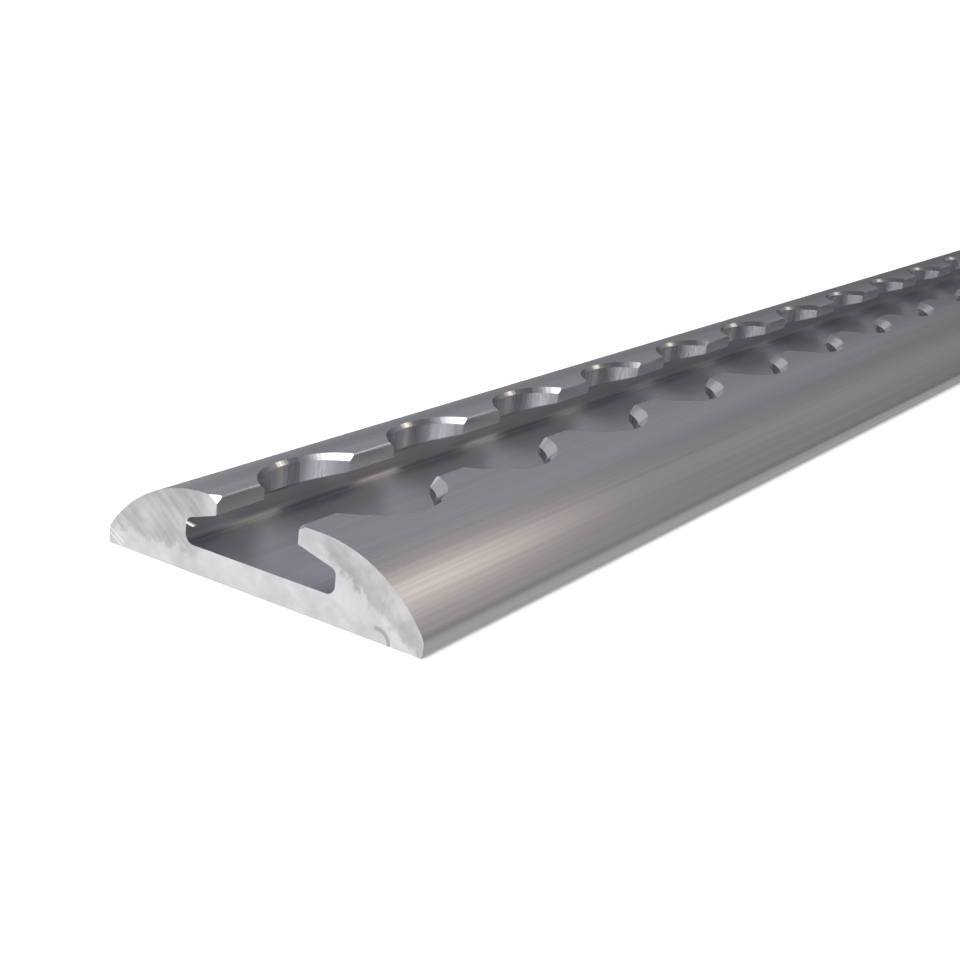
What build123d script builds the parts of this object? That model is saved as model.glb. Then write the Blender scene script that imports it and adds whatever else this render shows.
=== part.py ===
from build123d import *
import math
import os

# Half-round lashing rail: one sawn length of extruded and drilled aluminium, in millimetres.
# X runs along the rail, Y across it and Z up from the flat base, with the origin under its middle.

# Length and hole pattern
RAIL_LENGTH = 1000.0
HOLE_PITCH = 25.4
FIRST_HOLE = 16.2
HOLE_DIAMETER = 20.6
CHAMFER = 1.0

# Outside of the section
RAIL_WIDTH = 46.0
RAIL_HEIGHT = 10.1
SIDE_HEIGHT = 2.1
SHOULDER_INSET = 5.8
BASE_EDGE_RADIUS = 0.4
SIDE_EDGE_RADIUS = 2.0
# Share of the flank or the crown, whichever is shorter, that the shoulder's rounding takes
SHOULDER_SHARE = 0.97

# Channel and slot of the section
SLOT_WIDTH = 11.8
CHANNEL_WIDTH = 21.8
FLOOR_THICKNESS = 3.4
CHANNEL_WALL_HEIGHT = 3.05
LIP_THICKNESS = 2.2
LIP_EDGE_RADIUS = 0.5
LIP_ROOT_RADIUS = 0.9
FLOOR_CORNER_RADIUS = 0.9

# Heights of a lip's underside, at the slot and at the channel wall
LIP_BOTTOM = RAIL_HEIGHT - LIP_THICKNESS
LIP_ROOT_BOTTOM = FLOOR_THICKNESS + CHANNEL_WALL_HEIGHT

# Room that a cut takes past the metal
OVERRUN = 1.0


# Rounding that carries the flat crown over the shoulder and down the flank to the upright side
def shoulder_radius():
    rise = RAIL_HEIGHT - SIDE_HEIGHT
    slope = math.atan2(rise, SHOULDER_INSET)
    side_turn = math.pi / 2 - slope
    flank = math.hypot(SHOULDER_INSET, rise) - SIDE_EDGE_RADIUS * math.tan(side_turn / 2)
    crown = RAIL_WIDTH / 2 - SHOULDER_INSET - SLOT_WIDTH / 2 - LIP_EDGE_RADIUS
    return SHOULDER_SHARE * min(flank, crown) / math.tan(slope / 2)


# Half of the section, as corners with their roundings, from the base to the channel floor
def half_section():
    return [
        (RAIL_WIDTH / 2, 0, BASE_EDGE_RADIUS),
        (RAIL_WIDTH / 2, SIDE_HEIGHT, SIDE_EDGE_RADIUS),
        (RAIL_WIDTH / 2 - SHOULDER_INSET, RAIL_HEIGHT, shoulder_radius()),
        (SLOT_WIDTH / 2, RAIL_HEIGHT, LIP_EDGE_RADIUS),
        (SLOT_WIDTH / 2, LIP_BOTTOM, 0),
        (CHANNEL_WIDTH / 2, LIP_ROOT_BOTTOM, LIP_ROOT_RADIUS),
        (CHANNEL_WIDTH / 2, FLOOR_THICKNESS, FLOOR_CORNER_RADIUS),
    ]


# The extruded bar, before drilling
def extruded_bar():
    right = half_section()
    left = [(-y, z, radius) for y, z, radius in reversed(right)]
    corners = right + left
    points = [(y, z) for y, z, radius in corners]
    radii = [radius for y, z, radius in corners]
    start_plane = Plane.YZ.offset(-RAIL_LENGTH / 2)
    with BuildPart() as bar:
        with BuildSketch(start_plane):
            with BuildLine():
                FilletPolyline(*points, radius=radii, close=True)
            make_face()
        extrude(amount=RAIL_LENGTH)
    return bar.part


# One drilled hole with its chamfered rim, as the metal that the cutter takes away
def hole_cutter():
    hole_radius = HOLE_DIAMETER / 2
    rim_height = RAIL_HEIGHT - CHAMFER
    top = RAIL_HEIGHT + OVERRUN
    bottom = (FLOOR_THICKNESS + LIP_ROOT_BOTTOM) / 2
    outline = [
        (0, bottom),
        (hole_radius, bottom),
        (hole_radius, rim_height),
        (hole_radius + top - rim_height, top),
        (0, top),
    ]
    with BuildPart() as cutter:
        with BuildSketch(Plane.XZ):
            with BuildLine():
                Polyline(*outline, close=True)
            make_face()
        revolve(axis=Axis.Z)
    return cutter.part


# Hole centres along the rail: the sawn ends also cut into the holes that would follow
def hole_centres():
    reach = HOLE_DIAMETER / 2 + CHAMFER
    before = math.floor((FIRST_HOLE + reach) / HOLE_PITCH)
    count = math.floor((RAIL_LENGTH + reach - FIRST_HOLE) / HOLE_PITCH)
    return [FIRST_HOLE + step * HOLE_PITCH - RAIL_LENGTH / 2 for step in range(-before, count + 1)]


def lashing_rail():
    cutter = hole_cutter()
    cutters = [Pos(centre, 0, 0) * cutter for centre in hole_centres()]
    return extruded_bar() - cutters


os.makedirs("parts", exist_ok=True)
export_step(lashing_rail(), "parts/lashing_rail.step")
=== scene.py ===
"""Half-round lashing rail: a sawn length of extruded aluminium track, drilled through its lips."""

import math

import bmesh
import bpy
import numpy as np
from bpy.props import FloatProperty, FloatVectorProperty, PointerProperty
from mathutils import Matrix, Vector


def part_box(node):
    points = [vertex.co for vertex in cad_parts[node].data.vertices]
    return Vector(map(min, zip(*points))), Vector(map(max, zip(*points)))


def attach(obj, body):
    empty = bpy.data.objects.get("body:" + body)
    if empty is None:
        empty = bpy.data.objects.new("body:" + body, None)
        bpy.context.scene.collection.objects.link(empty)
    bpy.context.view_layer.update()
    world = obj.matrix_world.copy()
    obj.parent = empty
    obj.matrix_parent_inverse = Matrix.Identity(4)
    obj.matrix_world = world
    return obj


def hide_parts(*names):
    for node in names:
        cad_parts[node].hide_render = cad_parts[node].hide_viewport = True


bl_info = {
    "name": "Half-round lashing rail",
    "version": (1, 0, 0),
    "blender": (4, 5, 0),
    "location": "View3D > Sidebar > Rail",
    "description": "Builds a drilled length of half-round lashing rail and a plain studio round it",
    "category": "Object",
}

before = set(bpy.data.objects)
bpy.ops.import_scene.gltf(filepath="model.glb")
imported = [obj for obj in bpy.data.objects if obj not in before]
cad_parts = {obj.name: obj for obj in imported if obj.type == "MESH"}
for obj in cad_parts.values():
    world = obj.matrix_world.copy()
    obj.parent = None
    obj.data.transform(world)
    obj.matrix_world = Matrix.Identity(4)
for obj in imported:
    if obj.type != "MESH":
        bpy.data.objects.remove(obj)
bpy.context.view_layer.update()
RAIL_LOW, RAIL_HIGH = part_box("lashing_rail")

MM = 0.001

# The map that gives every point its place on its own surface, in metres.
SURFACE_UV = "surface"

# The bar's metals, in the order of its material slots.
# Paler skin on the channel's floor is painted light; darker skin under the lips is painted shade.
MILL, PAINTED_LIGHT_CHANNEL, PAINTED_SHADE_UNDERCUT, SAWN, DRILLED, COUNTERSUNK = range(6)


def linear(hex_colour):
    """Turns an sRGB hex colour into linear red, green, blue and alpha."""
    parts = [int(hex_colour[i:i + 2], 16) / 255 for i in (1, 3, 5)]
    return (*[p / 12.92 if p <= 0.04045 else ((p + 0.055) / 1.055) ** 2.4 for p in parts], 1.0)


def length(name, description, millimetres):
    """A length that a user may change, shown in the scene's units."""
    return FloatProperty(
        name=name, description=description, default=millimetres * MM, unit="LENGTH")


def angle(name, description, degrees):
    """An angle that a user may change."""
    return FloatProperty(
        name=name, description=description, default=math.radians(degrees), subtype="ANGLE")


def colour(name, description, hex_colour):
    """A colour that a user may change."""
    return FloatVectorProperty(
        name=name, description=description, default=linear(hex_colour), size=4,
        subtype="COLOR", min=0, max=1)


class RailSizes(bpy.types.PropertyGroup):
    """Sizes of the section, and of the holes along it."""

    side_height: length("Side height", "Upright part of each long edge", 2.1)
    shoulder_inset: length(
        "Shoulder inset", "From a side in to the corner that the dome's shoulder rounds off", 5.8)
    shoulder_radius: length("Shoulder radius", "Rounding of the dome's shoulders", 17.55)
    base_radius: length("Base edge radius", "Rounding of the lowest long edges", 0.4)
    side_radius: length("Side edge radius", "Rounding from the upright side into the dome", 2.0)
    slot_width: length("Slot width", "Gap between the two lips", 11.8)
    slot_offset: length("Slot offset", "How far the slot stands off the rail's middle", 0.5)
    channel_width: length("Channel width", "Inner width under the lips", 21.8)
    floor_thickness: length("Floor thickness", "Metal under the channel", 3.4)
    lip_bottom: length("Lip bottom", "Height of a lip's underside at the slot", 7.9)
    lip_root: length("Lip root", "Height of a lip's underside at the channel wall", 6.45)
    lip_radius: length("Lip edge radius", "Rounding of a lip's upper edge", 0.35)
    lip_under_radius: length("Lip under edge radius", "Rounding of a lip's lower edge", 0.3)
    root_radius: length("Lip root radius", "Rounding under a lip's root", 0.9)
    floor_radius: length("Floor radius", "Rounding of the channel's lower corners", 1.2)
    hole_diameter: length("Hole diameter", "Width of each round hole through the lips", 20.6)
    hole_pitch: length("Hole pitch", "Distance from one hole to the next", 25.4)
    first_hole: length(
        "First hole", "From the sawn end to the middle of the first whole hole", 16.2)
    chamfer: length("Chamfer", "Depth of the chamfer round each hole", 1.0)
    chamfer_offset: length(
        "Chamfer offset", "How far the chamfers stand off the holes' middle", 0.33)
    near_cut: length(
        "Near cut", "How much further in the hole at the near saw cut stands than the pitch gives",
        0.8)
    near_shift: length("Near shift", "How far that hole stands off the rail's middle", 0.5)
    near_lift: length("Near lift", "How much shallower that hole's chamfer is", 0.33)
    near_aside: length(
        "Near aside", "How far that hole's chamfer stands aside of the others", 0.53)


class RailFinish(bpy.types.PropertyGroup):
    """Colours of the bare metal and of the floor."""

    mill: colour("Mill finish", "Extruded skin", "#dad9dc")
    mill_dark: colour("Die lines", "Darker lines that the die leaves along the skin", "#c6c5c9")
    # The channel's colours paint light on its floor and shade under the lips and on its walls.
    channel: colour("Channel floor", "Extruded skin on the channel's floor", "#e2e4e9")
    painted_light_channel_dark: colour("Channel die lines", "Darker lines on the channel's floor", "#d2d4da")
    painted_shade_undercut: colour("Undercut", "Extruded skin under the lips", "#b6b6ba")
    painted_shade_undercut_dark: colour("Undercut die lines", "Darker lines under the lips", "#a4a4a8")
    drilled: colour("Drilled metal", "Hole walls", "#d4d4d6")
    countersunk: colour("Countersunk metal", "Chamfers round the holes", "#c2c2c6")
    sawn: colour("Sawn metal", "Sawn ends", "#eeeef1")
    sawn_dark: colour("Saw smear", "Greyer smears on the sawn ends", "#bfbec0")
    scratch: colour("Scratches", "Bright scratches on the sawn ends", "#ffffff")
    floor: colour("Floor", "Studio floor", "#f6f6f6")


class RailStudio(bpy.types.PropertyGroup):
    """Where the photograph was taken from."""

    back: length("Camera back", "From the sawn end back to the camera", 130.64)
    side: length("Camera side", "From the rail's middle line to the camera", -108.49)
    rise: length("Camera height", "From the floor to the camera", 71.21)
    heading: angle("Heading", "Turn from the rail's direction", 31.70)
    dip: angle("Dip", "Tilt below the horizon", 18.04)
    roll: angle("Roll", "Lean of the camera", 5.95)
    lens: FloatProperty(name="Lens", description="Focal length", default=60.83, unit="CAMERA")


def add_node(tree, kind, options=None, inputs=None):
    """Adds a node, sets its options, and fills its inputs with values or with links."""
    node = tree.nodes.new(kind)
    for name, value in (options or {}).items():
        setattr(node, name, value)
    for key, value in (inputs or {}).items():
        if isinstance(value, bpy.types.NodeSocket):
            tree.links.new(value, node.inputs[key])
        else:
            node.inputs[key].default_value = value
    return node


def new_material(name):
    """A new material, and its node tree with nothing in it yet."""
    material = bpy.data.materials.new(name)
    material.use_nodes = True
    material.node_tree.nodes.clear()
    return material, material.node_tree


# Noise on the extruded skin: length along the rail and width across it in millimetres, detail.
# Real die lines are finer: these are as coarse as they need to be to show.
DIE_GRAIN = {
    "lines": (150, 0.5, 2.0),
    "streaks": (400, 4, 3.0),
}


def extruded_aluminium(name, pale, dark, sharp, dull):
    """Aluminium as it leaves the die: a satin skin with fine lines along it and broad streaks.

    The roughness runs from sharp on the pale lines to dull on the dark ones.
    """
    material, tree = new_material(name)
    surface = add_node(tree, "ShaderNodeUVMap", {"uv_map": SURFACE_UV})
    grain = {}
    for pattern, (long, wide, detail) in DIE_GRAIN.items():
        at = add_node(tree, "ShaderNodeMapping", {"vector_type": "TEXTURE"}, {
            "Vector": surface.outputs["UV"], "Scale": (long * MM, wide * MM, 1)})
        grain[pattern] = add_node(tree, "ShaderNodeTexNoise", {"noise_dimensions": "2D"}, {
            "Vector": at.outputs["Vector"], "Scale": 1.0, "Detail": detail}).outputs["Fac"]
    both = add_node(tree, "ShaderNodeMath", {"operation": "MULTIPLY_ADD"}, {
        0: grain["lines"], 1: 0.4, 2: grain["streaks"]})
    mix = add_node(tree, "ShaderNodeMapRange", inputs={
        "Value": both.outputs["Value"], "From Min": 0.45, "From Max": 0.95})
    tone = add_node(tree, "ShaderNodeMix", {"data_type": "RGBA"}, {
        "Factor": mix.outputs["Result"], "A": dark, "B": pale})
    gloss = add_node(tree, "ShaderNodeMapRange", inputs={
        "Value": both.outputs["Value"], "From Min": 0.4, "From Max": 1.0,
        "To Min": dull, "To Max": sharp})
    relief = add_node(tree, "ShaderNodeBump", inputs={
        "Strength": 0.12, "Distance": 0.02 * MM, "Height": grain["lines"]})
    # The lines spread a reflection across the rail and keep it sharper along it.
    along = add_node(tree, "ShaderNodeTangent", {
        "direction_type": "UV_MAP", "uv_map": SURFACE_UV})
    shader = add_node(tree, "ShaderNodeBsdfPrincipled", inputs={
        "Base Color": tone.outputs["Result"], "Metallic": 1.0,
        "Roughness": gloss.outputs["Result"], "Anisotropic": 0.95, "Anisotropic Rotation": 0.25,
        "Tangent": along.outputs["Tangent"], "Normal": relief.outputs["Normal"]})
    add_node(tree, "ShaderNodeOutputMaterial", inputs={"Surface": shader.outputs["BSDF"]})
    return material


def mill_finish_aluminium(finish):
    """Mill finish outside: handled skin, which mirrors a window as a soft band along the dome."""
    return extruded_aluminium(
        "mill_finish_aluminium", finish.mill, finish.mill_dark, sharp=0.23, dull=0.28)


def painted_light_channel_aluminium(finish):
    """Mill finish on the channel's floor: paler as painted light, and duller from a rougher die."""
    return extruded_aluminium(
        "mill_finish_painted_light_channel", finish.channel, finish.painted_light_channel_dark, sharp=0.30, dull=0.36)


def painted_shade_undercut_aluminium(finish):
    """Mill finish under the lips and on the walls: painted shade, darker than the rest."""
    return extruded_aluminium(
        "mill_finish_painted_shade_undercut", finish.painted_shade_undercut, finish.painted_shade_undercut_dark, sharp=0.26, dull=0.32)


# Noise on the sawn ends: width and height in millimetres, turn in degrees, detail.
SAW_GRAIN = {
    "clouds": (4, 4, 0, 5.0),
    "layers": (9, 6, 20, 3.0),
    "strokes": (5, 0.7, 38, 4.0),
    "tears": (1.8, 1.2, 60, 3.0),
}

# How far a torn border wanders to either side.
TEAR_REACH = 0.9 * MM

# Directions and a place on the sawn ends, as across the rail and up.
ACROSS, UP = (1, 0, 0), (0, 1, 0)
SMEAR_SLOPE, SCRATCH_SLOPE = (-0.515, 0.857, 0), (-0.504, 0.864, 0)
GOUGE_MIDDLE = (-16.95 * MM, 0, 0)

# Ramps that bound more than one mark. A ramp runs along a direction (DOT_PRODUCT) or out from a
# place (DISTANCE), has a torn border or not, and goes from nothing to full between two distances
# in millimetres.
FIRST_HALF = ("DOT_PRODUCT", ACROSS, False, 7, 10)
OTHER_HALF = ("DOT_PRODUCT", ACROSS, False, -8, -10)
ABOVE_TEAR = ("DOT_PRODUCT", UP, True, 1.8, 2.9)
FAR_CORNER = ("DOT_PRODUCT", ACROSS, False, 20.2, 20.8)

# Marks on the sawn ends: what they add to, how much, the pattern that breaks them up, and the
# ramps that bound them.
SAW_MARKS = (
    # The half that the saw met first is greyer, down to a torn border, and shows the strokes.
    ("grey", 0.25, "even", (FIRST_HALF, ABOVE_TEAR)),
    ("grey", 0.45, "strokes", (FIRST_HALF, ABOVE_TEAR)),
    # The lips are a little greyer than the floor of the section.
    ("grey", 0.2, "even", (("DOT_PRODUCT", UP, False, 5, 8),)),
    # On the other half a smear lies along the dome, darkest at its torn lower border and fading
    # out to the edge.
    ("grey", 0.55, "even", (("DOT_PRODUCT", SMEAR_SLOPE, True, 11.2, 12.1), OTHER_HALF)),
    ("grey", -0.35, "even", (("DOT_PRODUCT", SMEAR_SLOPE, True, 12.2, 14.6), OTHER_HALF)),
    # A short hooked gouge stands by the lower edge.
    ("grey", 1.3, "even", (
        ("DISTANCE", GOUGE_MIDDLE, False, 1.28, 1.46),
        ("DISTANCE", GOUGE_MIDDLE, False, 1.88, 1.7),
        ("DOT_PRODUCT", ACROSS, False, -16.4, -16.8))),
    # Two bright scratches cross the lower corner away from the camera.
    ("bright", 1.0, "even", (
        ("DOT_PRODUCT", SCRATCH_SLOPE, False, -10.58, -10.51),
        ("DOT_PRODUCT", SCRATCH_SLOPE, False, -10.34, -10.41), FAR_CORNER)),
    ("bright", 1.0, "even", (
        ("DOT_PRODUCT", SCRATCH_SLOPE, False, -9.98, -9.91),
        ("DOT_PRODUCT", SCRATCH_SLOPE, False, -9.74, -9.81), FAR_CORNER)),
    # The burr in the channel's mouth is as bright.
    ("bright", 1.0, "even", (
        ("DOT_PRODUCT", ACROSS, False, 10.95, 10.85), ("DOT_PRODUCT", ACROSS, False, 7, 8),
        ("DOT_PRODUCT", UP, False, 5.2, 5.3), ("DOT_PRODUCT", UP, False, 6.4, 6.3))),
)


def sawn_aluminium(finish):
    """Aluminium left by a saw: pale, dull and cloudy, with torn layers, strokes and scratches."""
    material, tree = new_material("sawn_aluminium")
    surface = add_node(tree, "ShaderNodeUVMap", {"uv_map": SURFACE_UV}).outputs["UV"]
    grain = {}
    for pattern, (wide, high, turn, detail) in SAW_GRAIN.items():
        at = add_node(tree, "ShaderNodeMapping", {"vector_type": "TEXTURE"}, {
            "Vector": surface, "Rotation": (0, 0, math.radians(turn)),
            "Scale": (wide * MM, high * MM, 1)})
        grain[pattern] = add_node(tree, "ShaderNodeTexNoise", {"noise_dimensions": "2D"}, {
            "Vector": at.outputs["Vector"], "Scale": 1.0, "Detail": detail,
            "Roughness": 0.6}).outputs["Fac"]
    torn = add_node(tree, "ShaderNodeMapRange", inputs={
        "Value": grain["tears"], "From Min": 0.2, "From Max": 0.8,
        "To Min": -TEAR_REACH, "To Max": TEAR_REACH})
    clouds = add_node(tree, "ShaderNodeMapRange", inputs={
        "Value": grain["clouds"], "From Min": 0.65, "From Max": 0.35, "To Max": 0.25})
    layers = add_node(tree, "ShaderNodeMapRange", inputs={
        "Value": grain["layers"], "From Min": 0.5, "From Max": 0.62, "To Max": 0.2})
    strokes = add_node(tree, "ShaderNodeMapRange", inputs={
        "Value": grain["strokes"], "From Min": 0.75, "From Max": 0.25})
    cloudy = add_node(tree, "ShaderNodeMath", {"operation": "ADD"}, {
        0: clouds.outputs["Result"], 1: layers.outputs["Result"]})

    break_up = {"even": 1.0, "strokes": strokes.outputs["Result"]}
    marks = {"grey": cloudy.outputs["Value"], "bright": 0.0}
    for kind, amount, pattern, ramps in SAW_MARKS:
        mark = break_up[pattern]
        for operation, place, ragged, nothing, full in ramps:
            reach = add_node(tree, "ShaderNodeVectorMath", {"operation": operation}, {
                0: surface, 1: place})
            if ragged:
                reach = add_node(tree, "ShaderNodeMath", {"operation": "ADD"}, {
                    0: reach.outputs["Value"], 1: torn.outputs["Result"]})
            share = add_node(tree, "ShaderNodeMapRange", {"interpolation_type": "SMOOTHSTEP"}, {
                "Value": reach.outputs["Value"], "From Min": nothing * MM, "From Max": full * MM})
            mark = add_node(tree, "ShaderNodeMath", {"operation": "MULTIPLY"}, {
                0: mark, 1: share.outputs["Result"]}).outputs["Value"]
        marks[kind] = add_node(tree, "ShaderNodeMath", {"operation": "MULTIPLY_ADD"}, {
            0: mark, 1: amount, 2: marks[kind]}).outputs["Value"]

    dull = add_node(tree, "ShaderNodeMix", {"data_type": "RGBA"}, {
        "Factor": marks["grey"], "A": finish.sawn, "B": finish.sawn_dark})
    tone = add_node(tree, "ShaderNodeMix", {"data_type": "RGBA"}, {
        "Factor": marks["bright"], "A": dull.outputs["Result"], "B": finish.scratch})
    relief = add_node(tree, "ShaderNodeBump", inputs={
        "Strength": 0.3, "Distance": 0.05 * MM, "Height": grain["strokes"]})
    shader = add_node(tree, "ShaderNodeBsdfPrincipled", inputs={
        "Base Color": tone.outputs["Result"], "Metallic": 1.0, "Roughness": 0.6,
        "Normal": relief.outputs["Normal"]})
    add_node(tree, "ShaderNodeOutputMaterial", inputs={"Surface": shader.outputs["BSDF"]})
    return material


# Chatter marks of a turning cutter: their spacing round the hole, and their length up its wall.
CHATTER_SPACING, CHATTER_LENGTH = 0.6 * MM, 40 * MM


def bored_aluminium(name, tone, sharp, dull):
    """Aluminium under a turning cutter, with chatter marks across its path.

    The roughness runs from sharp to dull with the marks.
    """
    material, tree = new_material(name)
    surface = add_node(tree, "ShaderNodeUVMap", {"uv_map": SURFACE_UV})
    marks_at = add_node(tree, "ShaderNodeMapping", {"vector_type": "TEXTURE"}, {
        "Vector": surface.outputs["UV"], "Scale": (CHATTER_SPACING, CHATTER_LENGTH, 1)})
    marks = add_node(tree, "ShaderNodeTexNoise", {"noise_dimensions": "2D"}, {
        "Vector": marks_at.outputs["Vector"], "Scale": 1.0, "Detail": 2.0})
    relief = add_node(tree, "ShaderNodeBump", inputs={
        "Strength": 0.35, "Distance": 0.04 * MM, "Height": marks.outputs["Fac"]})
    gloss = add_node(tree, "ShaderNodeMapRange", inputs={
        "Value": marks.outputs["Fac"], "From Min": 0.3, "From Max": 0.7,
        "To Min": sharp, "To Max": dull})
    # The cutter turned round the hole, so a reflection is spread up and down the wall.
    around = add_node(tree, "ShaderNodeTangent", {
        "direction_type": "UV_MAP", "uv_map": SURFACE_UV})
    shader = add_node(tree, "ShaderNodeBsdfPrincipled", inputs={
        "Base Color": tone, "Metallic": 1.0, "Roughness": gloss.outputs["Result"],
        "Anisotropic": 0.8, "Anisotropic Rotation": 0.25, "Tangent": around.outputs["Tangent"],
        "Normal": relief.outputs["Normal"]})
    add_node(tree, "ShaderNodeOutputMaterial", inputs={"Surface": shader.outputs["BSDF"]})
    return material


def drilled_aluminium(finish):
    """Drilled aluminium: pale and satin, with fine upright lines."""
    return bored_aluminium("drilled_aluminium", finish.drilled, sharp=0.24, dull=0.34)


def countersunk_aluminium(finish):
    """Countersunk aluminium: cut clean, so it mirrors the lights sharply."""
    return bored_aluminium("countersunk_aluminium", finish.countersunk, sharp=0.15, dull=0.21)


# What makes the bar's metals, in the order of MILL to COUNTERSUNK.
METALS = (
    mill_finish_aluminium, painted_light_channel_aluminium, painted_shade_undercut_aluminium,
    sawn_aluminium, drilled_aluminium, countersunk_aluminium,
)


def matt_floor(finish):
    """Matt white paper: no gloss at all, and a little light coming through it."""
    material, tree = new_material("matt_white_paper")
    shader = add_node(tree, "ShaderNodeBsdfPrincipled", inputs={
        "Base Color": finish.floor, "Roughness": 1.0, "Specular IOR Level": 0.0,
        "Emission Color": finish.floor, "Emission Strength": 0.25})
    add_node(tree, "ShaderNodeOutputMaterial", inputs={"Surface": shader.outputs["BSDF"]})
    return material


def lit_backdrop():
    """White paper lit from behind: an even glow."""
    material, tree = new_material("lit_white_paper")
    glow = add_node(tree, "ShaderNodeEmission", inputs={
        "Color": linear("#ffffff"), "Strength": 1.0})
    add_node(tree, "ShaderNodeOutputMaterial", inputs={"Surface": glow.outputs["Emission"]})
    return material


# Steps of a spin. The dome's shoulders are seen at close range, so they get more.
SHOULDER_STEPS, EDGE_STEPS, CUTTER_STEPS = 36, 6, 112

# Sides of the section that turn by less than this are shaded as one round surface.
SMOOTH_TURN = math.radians(25)

# How far a cutter reaches past the metal.
OVERRUN = 1 * MM

# Points of a spun cutter, and of the cut bar, that are closer than this are one.
CUTTER_MERGE, BAR_MERGE = 0.001 * MM, 0.003 * MM

# How squarely a face looks along the rail on a sawn end, and up on the channel's floor.
END_FACING, FLOOR_FACING = 0.5, 0.8

# How far the far end's place on the saw's pattern is from the near end's.
FAR_END_SHIFT = 100 * MM

# Distance that counts as much as a right angle, when a face's side of the section is looked up.
TILT_REACH = 20 * MM

# The burr: thickness, what is left of it along the rail, across and up, how far into the bar its
# middle stands in thicknesses, and its height.
BURR_THICKNESS = 0.5 * MM
BURR_SHARES = (0.6, 1, 0.7)
BURR_DEPTH = 0.32
BURR_HEIGHT = 5.9 * MM

# Pulls that draw the burr out: reach and lift in millimetres, and the share of its height left.
BURR_PULLS = ((0.6, -0.02, 1.0), (0.45, -0.1, 0.95), (0.4, -0.06, 0.85), (0.3, 0.05, 0.5))


def only_verts(geometry):
    """The vertices among the geometry that a bmesh operator gives back."""
    return [item for item in geometry if isinstance(item, bmesh.types.BMVert)]


def unit_rows(rows):
    """Brings every row to a length of 1."""
    return rows / np.linalg.norm(rows, axis=1)[:, None]


def read_all(items, attribute, width=1, dtype=float):
    """Reads an attribute of all items of a mesh, as one row each where it has several numbers."""
    values = np.empty(len(items) * width, dtype=dtype)
    items.foreach_get(attribute, values)
    return values.reshape(-1, width) if width > 1 else values


def section_corners(sizes):
    """Corners of the section as (across, up, rounding), from a lower edge over dome and slot."""
    half_width, top, channel = RAIL_HIGH.y, RAIL_HIGH.z, sizes.channel_width / 2
    halves = []
    for offset in (sizes.slot_offset, -sizes.slot_offset):
        slot = sizes.slot_width / 2 + offset
        halves.append([
            (half_width, 0, sizes.base_radius),
            (half_width, sizes.side_height, sizes.side_radius),
            (half_width - sizes.shoulder_inset, top, sizes.shoulder_radius),
            (slot, top, sizes.lip_radius),
            (slot, sizes.lip_bottom, sizes.lip_under_radius),
            (channel, sizes.lip_root, sizes.root_radius),
            (channel, sizes.floor_thickness, sizes.floor_radius),
        ])
    one, other = halves
    return one + [(-across, up, radius) for across, up, radius in reversed(other)]


def draw_section(bm, sizes):
    """Draws the section as one face at the near end, with every corner turned by a spin."""
    corners = [
        (Vector((RAIL_LOW.x, across, up)), radius) for across, up, radius in section_corners(sizes)
    ]
    last = first = None
    for index, (corner, radius) in enumerate(corners):
        arriving = (corner - corners[index - 1][0]).normalized()
        leaving = (corners[(index + 1) % len(corners)][0] - corner).normalized()
        turn = math.atan2(arriving.cross(leaving).x, arriving.dot(leaving))
        start = corner - arriving * radius * math.tan(abs(turn) / 2)
        vertex = bm.verts.new(start)
        if last:
            bm.edges.new((last, vertex))
        first = first or vertex
        inward = Vector((math.copysign(1, turn), 0, 0)).cross(arriving)
        steps = SHOULDER_STEPS if radius == sizes.shoulder_radius else EDGE_STEPS
        spun = bmesh.ops.spin(
            bm, geom=[vertex], cent=start + inward * radius, axis=(1, 0, 0), angle=turn,
            steps=steps)
        last = only_verts(spun["geom_last"])[0]
    bm.edges.new((last, first))
    return bmesh.ops.contextual_create(bm, geom=bm.edges[:])["faces"][0]


def section_line(face):
    """The section's outline in order: points, each side's own normal, and its shading normals.

    The shading normals are given at the start and at the end of every side.
    """
    points = np.array([(v.co.y, v.co.z) for v in face.verts])
    if face.normal.x < 0:
        points = points[::-1]
    sides = unit_rows(np.roll(points, -1, axis=0) - points)
    flat = np.stack((sides[:, 1], -sides[:, 0]), axis=1)
    before, after = np.roll(flat, 1, axis=0), np.roll(flat, -1, axis=0)
    soft = math.cos(SMOOTH_TURN)
    starts = np.where((flat * before).sum(1)[:, None] > soft, flat + before, flat)
    ends = np.where((flat * after).sum(1)[:, None] > soft, flat + after, flat)
    return points, flat, unit_rows(starts), unit_rows(ends)


def metal_of(face, sizes):
    """The metal that a face of the undrilled bar shows."""
    middle = face.calc_center_median()
    if abs(face.normal.x) > END_FACING:
        return SAWN
    if abs(middle.y) > sizes.channel_width / 2 or not 0 < middle.z < sizes.lip_bottom:
        return MILL
    # Up-facing channel faces get painted light, the walls and lip undersides painted shade.
    return PAINTED_LIGHT_CHANNEL if face.normal.z > FLOOR_FACING else PAINTED_SHADE_UNDERCUT


def hole_centres(sizes):
    """Middles of all the holes along the rail, with the two that only the saw cuts touch."""
    count = math.ceil((RAIL_HIGH.x - RAIL_LOW.x) / sizes.hole_pitch)
    centres = [
        RAIL_LOW.x + sizes.first_hole + step * sizes.hole_pitch for step in range(-1, count)
    ]
    centres[0] += sizes.near_cut
    return centres


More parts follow.
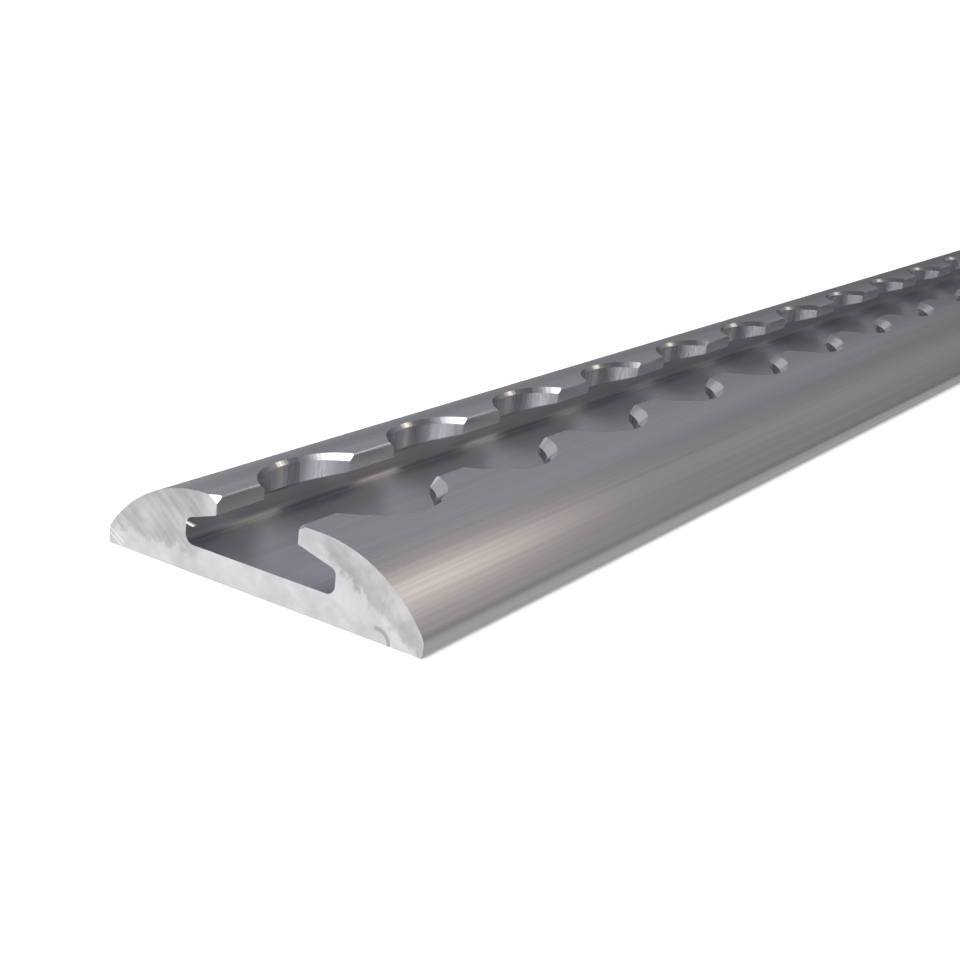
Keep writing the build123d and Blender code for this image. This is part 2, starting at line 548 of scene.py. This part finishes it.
def draw_cutters(bm, sizes, outline, offset, near_aside=0, near_lift=0):
    """Spins this half outline of a cutter and repeats it along the rail, off the middle line.

    The cutter at the near end stands further aside and higher.
    """
    verts = [bm.verts.new((out, 0, up)) for out, up in outline]
    edges = [bm.edges.new(pair) for pair in zip(verts, verts[1:])]
    bmesh.ops.spin(
        bm, geom=verts + edges, cent=(0, 0, 0), axis=(0, 0, 1), angle=2 * math.pi,
        steps=CUTTER_STEPS, use_merge=True)
    bmesh.ops.remove_doubles(bm, verts=bm.verts[:], dist=CUTTER_MERGE)
    cutter = bm.verts[:] + bm.edges[:] + bm.faces[:]
    first, *others = hole_centres(sizes)
    for along in others:
        copy = bmesh.ops.duplicate(bm, geom=cutter)
        bmesh.ops.translate(bm, verts=only_verts(copy["geom"]), vec=(along, offset, 0))
    near_place = (first, offset + sizes.near_shift + near_aside, near_lift)
    bmesh.ops.translate(bm, verts=only_verts(cutter), vec=near_place)
    bmesh.ops.recalc_face_normals(bm, faces=bm.faces[:])


def draw_drills(bm, sizes):
    """The drills, which go through both lips and stop above the channel's floor."""
    radius, top = sizes.hole_diameter / 2, RAIL_HIGH.z + OVERRUN
    bottom = (sizes.floor_thickness + sizes.lip_root) / 2
    draw_cutters(bm, sizes, [(0, bottom), (radius, bottom), (radius, top), (0, top)], 0)


def draw_countersinks(bm, sizes):
    """The 45 degree countersinks of a second pass, a little off the holes' middle."""
    radius, rim = sizes.hole_diameter / 2, RAIL_HIGH.z - sizes.chamfer
    bottom, top = rim - OVERRUN, RAIL_HIGH.z + OVERRUN
    outline = [(0, bottom), (radius - OVERRUN, bottom), (radius + top - rim, top), (0, top)]
    draw_cutters(
        bm, sizes, outline, -sizes.chamfer_offset, sizes.near_aside, sizes.near_lift)


def draw_burr(bm, sizes):
    """A sliver that the saw left on the channel wall at the near end, pulled out to a thin tip."""
    made = bmesh.ops.create_circle(
        bm, cap_ends=True, radius=BURR_THICKNESS * math.sqrt(0.5), segments=4)["verts"]
    for turn, axis in ((math.pi / 4, "Z"), (math.pi / 2, "X")):
        bmesh.ops.rotate(bm, verts=made, cent=(0, 0, 0), matrix=Matrix.Rotation(turn, 3, axis))
    bmesh.ops.scale(bm, verts=made, vec=BURR_SHARES)
    root = (
        RAIL_LOW.x + BURR_DEPTH * BURR_THICKNESS, sizes.channel_width / 2 + BURR_THICKNESS,
        BURR_HEIGHT)
    bmesh.ops.translate(bm, verts=made, vec=root)
    end = next(iter(bm.faces))
    for reach, lift, share in BURR_PULLS:
        end = bmesh.ops.extrude_discrete_faces(bm, faces=[end])["faces"][0]
        bmesh.ops.translate(bm, verts=end.verts[:], vec=(0, -reach * MM, lift * MM))
        middle = end.calc_center_median()
        bmesh.ops.scale(
            bm, verts=end.verts[:], vec=(1, 1, share), space=Matrix.Translation(-middle))
    bmesh.ops.holes_fill(bm, edges=bm.edges[:])
    bmesh.ops.recalc_face_normals(bm, faces=bm.faces[:])


# What is joined to the bar or cut from it, in order: its drawing, the metal that it leaves, how.
BAR_TOOLS = {
    "burr": (draw_burr, SAWN, "UNION"),
    "drills": (draw_drills, DRILLED, "DIFFERENCE"),
    "countersinks": (draw_countersinks, COUNTERSUNK, "DIFFERENCE"),
}


def mesh_object(name, bm, materials):
    """Turns a bmesh into an object in the scene."""
    mesh = bpy.data.meshes.new(name)
    bm.to_mesh(mesh)
    bm.free()
    for material in materials:
        mesh.materials.append(material)
    piece = bpy.data.objects.new(name, mesh)
    bpy.context.scene.collection.objects.link(piece)
    return piece


def extruded_bar(sizes, metals):
    """The bar before it is drilled, and the outline of its section."""
    bm = bmesh.new()
    section = draw_section(bm, sizes)
    section.normal_update()
    outline = section_line(section)
    pulled = bmesh.ops.extrude_face_region(bm, geom=[section])
    rail_length = RAIL_HIGH.x - RAIL_LOW.x
    bmesh.ops.translate(bm, verts=only_verts(pulled["geom"]), vec=(rail_length, 0, 0))
    bmesh.ops.recalc_face_normals(bm, faces=bm.faces[:])
    for face in bm.faces:
        face.material_index = metal_of(face, sizes)
    return mesh_object("extruded_bar", bm, metals), outline


def cut_mesh(context, bar, sizes, metals):
    """The mesh of the bar with its burr and its holes. The bar and the cutters are used up."""
    tools = []
    for name, (draw, metal, operation) in BAR_TOOLS.items():
        bm = bmesh.new()
        draw(bm, sizes)
        tools.append(mesh_object(name, bm, [metals[metal]]))
        cut = bar.modifiers.new(name, "BOOLEAN")
        cut.object, cut.operation = tools[-1], operation
        cut.solver, cut.material_mode = "EXACT", "TRANSFER"
    shape = bar.evaluated_get(context.evaluated_depsgraph_get())
    mesh = bpy.data.meshes.new_from_object(shape)
    if list(mesh.materials) != metals or not len(mesh.polygons):
        raise RuntimeError("the holes could not be drilled")
    for helper in (bar, *tools):
        bpy.data.objects.remove(helper)
    return mesh


def weld(mesh):
    """Joins the points that the cuts left closer than can be seen, so that no slivers stay."""
    bm = bmesh.new()
    bm.from_mesh(mesh)
    bmesh.ops.remove_doubles(bm, verts=bm.verts[:], dist=BAR_MERGE)
    bmesh.ops.dissolve_degenerate(bm, edges=bm.edges[:], dist=BAR_MERGE)
    bm.to_mesh(mesh)
    bm.free()


def skin_finish(place, owner, facing, middle, outline):
    """Normals on the extruded skin, and places along the rail and round its section."""
    points, flat, starts, ends = outline
    sides = np.roll(points, -1, axis=0) - points
    lengths = np.linalg.norm(sides, axis=1)
    travelled = np.concatenate(([0], np.cumsum(lengths)[:-1]))
    # A face is part of the side that lies nearest to it and looks the same way.
    offset = middle[:, None, 1:] - points[None]
    share = np.clip((offset * sides).sum(2) / lengths ** 2, 0, 1)
    apart = np.linalg.norm(offset - share[..., None] * sides, axis=2)
    tilt = 1 - (facing[:, None, 1:] * flat[None]).sum(2)
    side = np.argmin(apart + tilt * TILT_REACH, axis=1)[owner]
    step = ((place[:, 1:] - points[side]) * sides[side]).sum(1) / lengths[side] ** 2
    step = np.clip(step, 0, 1)[:, None]
    rounded = unit_rows(starts[side] * (1 - step) + ends[side] * step)
    normal = np.column_stack((np.zeros(len(rounded)), rounded))
    return normal, np.column_stack((place[:, 0], travelled[side] + step[:, 0] * lengths[side]))


def bore_finish(place, metal, sizes):
    """Normals in the holes, and places round a hole and up its wall."""
    centres = np.array(hole_centres(sizes))
    hole = np.argmin(np.abs(place[:, :1] - centres), axis=1)
    nearest = centres[hole]
    slanted = metal == COUNTERSUNK
    shift = np.where(hole == 0, sizes.near_shift + slanted * sizes.near_aside, 0)
    shift = shift - slanted * sizes.chamfer_offset
    turn = np.arctan2(place[:, 1] - shift, place[:, 0] - nearest)
    normal = unit_rows(np.column_stack((-np.cos(turn), -np.sin(turn), slanted)))
    return normal, np.column_stack((turn * sizes.hole_diameter / 2 + nearest, place[:, 2]))


def dress_surface(mesh, outline, sizes):
    """Gives every corner of the cut bar a true shading normal and a place on its own surface."""
    faces = mesh.polygons
    facing, middle = read_all(faces, "normal", 3), read_all(faces, "center", 3)
    owner = np.repeat(np.arange(len(faces)), read_all(faces, "loop_total", dtype=int))
    metal = read_all(faces, "material_index", dtype=int)[owner]
    corner = read_all(mesh.loops, "vertex_index", dtype=int)
    place = read_all(mesh.vertices, "co", 3)[corner]

    # The sawn ends are flat, and the far one takes another part of the saw's pattern.
    normal, uv = facing[owner], place[:, 1:].copy()
    uv[place[:, 0] > 0, 0] += FAR_END_SHIFT
    for chosen, (finish_normal, finish_uv) in (
        (metal <= PAINTED_SHADE_UNDERCUT, skin_finish(place, owner, facing, middle, outline)),
        (metal >= DRILLED, bore_finish(place, metal, sizes)),
    ):
        normal[chosen], uv[chosen] = finish_normal[chosen], finish_uv[chosen]

    layer = mesh.uv_layers.new(name=SURFACE_UV)
    layer.data.foreach_set("uv", uv.astype(np.float32).ravel())
    faces.foreach_set("use_smooth", np.ones(len(faces), dtype=bool))
    mesh.normals_split_custom_set(normal.tolist())


class RAIL_OT_bar(bpy.types.Operator):
    """Extrude the section, drill and chamfer the row of holes, and finish the metal"""

    bl_idname = "rail.bar"
    bl_label = "Lashing rail"

    def execute(self, context):
        sizes = context.scene.rail_sizes
        metals = [metal(context.scene.rail_finish) for metal in METALS]
        bar, outline = extruded_bar(sizes, metals)
        mesh = cut_mesh(context, bar, sizes, metals)
        weld(mesh)
        dress_surface(mesh, outline, sizes)

        mesh.name = "lashing_rail_bar"
        rail = bpy.data.objects.new("lashing_rail_bar", mesh)
        context.scene.collection.objects.link(rail)
        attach(rail, "root")
        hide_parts("lashing_rail")
        return {"FINISHED"}


# The round paper floor and the backdrop inside its edge, in metres, and the steps round them.
PAPER_RADIUS, BACKDROP_RADIUS, BACKDROP_HEIGHT = 45, 44, 80
PAPER_STEPS = 96

# The floor lies this far under the rail, so that their faces don't fall together.
FLOOR_DROP = 0.05 * MM

# Glow of the air, which is dim at the horizon and lighter above it, and of the ground below it:
# where the change ends, as the sine of the elevation, radiance at the horizon and there, colour.
AIR_GLOW = (0.36, 0.08, 0.176, "#fafbff")
GROUND_GLOW = (-0.15, 0.0, 0.44, "#fdf9f4")

# Softboxes: heading from the rail's +X and elevation, half-angles of the even middle and of the
# edge, all in degrees, then radiance and colour.
SOFTBOXES = (
    # A strong light high over the rail.
    (130, 70, 12, 28, 5.0, "#ffffff"),
    # A window along the rail on the right, warm at its edge, and its core.
    (-20.5, 35, 2.5, 8.5, 1.3, "#ffead0"),
    (-20.5, 35, 1.5, 4, 1.0, "#ffffff"),
    # A broad glow beside the window, and a dark card over it, which takes light away.
    (-38, 28, 8, 40, 0.19, "#fbf8f8"),
    (-40, 50, 5, 16, -0.12, "#ffffff"),
    # A faint glow straight along the rail, and a broad, cooler one on the left.
    (0, 24, 8, 20, 0.07, "#fbf8f8"),
    (45, 32, 10, 42, 0.235, "#eef1fe"),
    # Two lights on the left, which the chamfers on the right mirror.
    (65, 11, 13, 24, 0.36, "#fffdf5"),
    (88, 26, 4, 10, 1.1, "#ffffff"),
    # A low fill in front of the sawn end.
    (165, 15, 15, 36, 2.65, "#ffffff"),
)

# The low softbox: its middle from the near end of the rail, and its size along and across. It is
# made of sheets, each with its share of that size and its radiance, so it fades out. Sheets in
# one plane would hide each other, so they hang a little apart.
LOW_BOX = (-10 * MM, -75 * MM, 230 * MM)
LOW_BOX_SIZE = (240 * MM, 145 * MM)
LOW_BOX_SHEETS = ((1.5, 0.2), (1.2, 0.25), (1.0, 0.5), (0.85, 0.75), (0.6, 1.2))
LOW_BOX_GAP = 1 * MM

# The nearest and the furthest that the camera sees, in metres.
CLIP_NEAR, CLIP_FAR = 0.005, 100


def aim(heading, elevation):
    """Direction towards this heading, turned from the rail's +X, and this elevation."""
    return Vector((
        math.cos(heading) * math.cos(elevation), math.sin(heading) * math.cos(elevation),
        math.sin(elevation)))


def horizon_glow(tree, height, end, at_horizon, beyond, hex_colour):
    """The glow of the air or the ground, which changes from the horizon to this height."""
    level = add_node(tree, "ShaderNodeMapRange", inputs={
        "Value": height, "From Min": 0.0, "From Max": end,
        "To Min": at_horizon, "To Max": beyond})
    return add_node(tree, "ShaderNodeVectorMath", {"operation": "SCALE"}, {
        0: linear(hex_colour)[:3], "Scale": level.outputs["Result"]}).outputs["Vector"]


def add_softbox(tree, direction, glow, heading, elevation, full, faded, radiance, hex_colour):
    """Adds a round softbox to the glow, even near its middle and fading out towards its edge."""
    towards = aim(math.radians(heading), math.radians(elevation))
    nearness = add_node(tree, "ShaderNodeVectorMath", {"operation": "DOT_PRODUCT"}, {
        0: direction, 1: towards})
    level = add_node(tree, "ShaderNodeMapRange", {"interpolation_type": "SMOOTHSTEP"}, {
        "Value": nearness.outputs["Value"], "From Min": math.cos(math.radians(faded)),
        "From Max": math.cos(math.radians(full)), "To Max": radiance})
    light = add_node(tree, "ShaderNodeVectorMath", {"operation": "SCALE"}, {
        0: linear(hex_colour)[:3], "Scale": level.outputs["Result"]})
    return add_node(tree, "ShaderNodeVectorMath", {"operation": "ADD"}, {
        0: glow, 1: light.outputs["Vector"]}).outputs["Vector"]


def lay_paper(finish):
    """Lays the floor and stands the backdrop round it."""
    bm = bmesh.new()
    bmesh.ops.create_circle(bm, cap_ends=True, radius=PAPER_RADIUS, segments=PAPER_STEPS)
    bmesh.ops.translate(bm, verts=bm.verts[:], vec=(0, 0, -FLOOR_DROP))
    floor = mesh_object("studio_floor", bm, [matt_floor(finish)])
    bm = bmesh.new()
    bmesh.ops.create_cone(
        bm, radius1=BACKDROP_RADIUS, radius2=BACKDROP_RADIUS, depth=BACKDROP_HEIGHT,
        segments=PAPER_STEPS)
    backdrop = mesh_object("studio_backdrop", bm, [lit_backdrop()])
    # The metal mirrors neither of them, and the backdrop stops no light.
    floor.visible_glossy = backdrop.visible_glossy = False
    backdrop.visible_diffuse = backdrop.visible_shadow = False


def light_studio(scene):
    """Lights the air, with the softboxes in it, and hangs the low softbox over the near end."""
    world = bpy.data.worlds.new("studio")
    world.use_nodes = True
    tree = world.node_tree
    tree.nodes.clear()
    direction = add_node(tree, "ShaderNodeTexCoord").outputs["Generated"]
    height = add_node(tree, "ShaderNodeSeparateXYZ", inputs={"Vector": direction}).outputs["Z"]
    glow = add_node(tree, "ShaderNodeVectorMath", {"operation": "ADD"}, {
        0: horizon_glow(tree, height, *AIR_GLOW),
        1: horizon_glow(tree, height, *GROUND_GLOW)}).outputs["Vector"]
    for softbox in SOFTBOXES:
        glow = add_softbox(tree, direction, glow, *softbox)
    air = add_node(tree, "ShaderNodeBackground", inputs={"Color": glow})
    add_node(tree, "ShaderNodeOutputWorld", inputs={"Surface": air.outputs["Background"]})
    scene.world = world

    for level, (share, radiance) in enumerate(LOW_BOX_SHEETS):
        sheet = bpy.data.lights.new("low_softbox", "AREA")
        sheet.shape = "ELLIPSE"
        sheet.size, sheet.size_y = [share * size for size in LOW_BOX_SIZE]
        # A lamp's power is its radiance times pi times its area, which is an ellipse here.
        sheet.energy = radiance * math.pi * math.pi / 4 * sheet.size * sheet.size_y
        lamp = bpy.data.objects.new("low_softbox", sheet)
        lamp.location = Vector(LOW_BOX) + Vector((RAIL_LOW.x, 0, level * LOW_BOX_GAP))
        scene.collection.objects.link(lamp)


def place_camera(scene, studio):
    """Puts the camera where the photograph was taken."""
    lens = bpy.data.cameras.new("camera")
    lens.lens, lens.clip_start, lens.clip_end = studio.lens, CLIP_NEAR, CLIP_FAR
    camera = bpy.data.objects.new("camera", lens)
    turned = aim(studio.heading, -studio.dip).to_track_quat("-Z", "Y").to_matrix().to_4x4()
    stand = Matrix.Translation((RAIL_LOW.x - studio.back, studio.side, studio.rise))
    camera.matrix_world = stand @ turned @ Matrix.Rotation(studio.roll, 4, "Z")
    scene.collection.objects.link(camera)
    scene.camera = camera


class RAIL_OT_studio(bpy.types.Operator):
    """Lay a pale floor, set the soft lights and put the camera where the photograph was taken"""

    bl_idname = "rail.studio"
    bl_label = "Studio"

    def execute(self, context):
        scene = context.scene
        scene.view_settings.view_transform = "Standard"
        lay_paper(scene.rail_finish)
        light_studio(scene)
        place_camera(scene, scene.rail_studio)
        return {"FINISHED"}


class RAIL_PT_panel(bpy.types.Panel):
    """Sizes, colours and buttons of the rail"""

    bl_idname = "RAIL_PT_panel"
    bl_label = "Lashing rail"
    bl_space_type = "VIEW_3D"
    bl_region_type = "UI"
    bl_category = "Rail"

    def draw(self, context):
        for name in GROUPS:
            group = getattr(context.scene, name)
            column = self.layout.column()
            for value in group.__annotations__:
                column.prop(group, value)
        for operator in OPERATORS:
            self.layout.operator(operator.bl_idname)


GROUPS = {"rail_sizes": RailSizes, "rail_finish": RailFinish, "rail_studio": RailStudio}
OPERATORS = (RAIL_OT_bar, RAIL_OT_studio)
CLASSES = (*GROUPS.values(), *OPERATORS, RAIL_PT_panel)


def register():
    for cls in CLASSES:
        bpy.utils.register_class(cls)
    for name, group in GROUPS.items():
        setattr(bpy.types.Scene, name, PointerProperty(type=group))


def unregister():
    for name in GROUPS:
        delattr(bpy.types.Scene, name)
    for cls in reversed(CLASSES):
        bpy.utils.unregister_class(cls)


def main():
    """Builds the rail and its studio."""
    register()
    bpy.ops.rail.bar()
    bpy.ops.rail.studio()


if __name__ == "__main__":
    main()
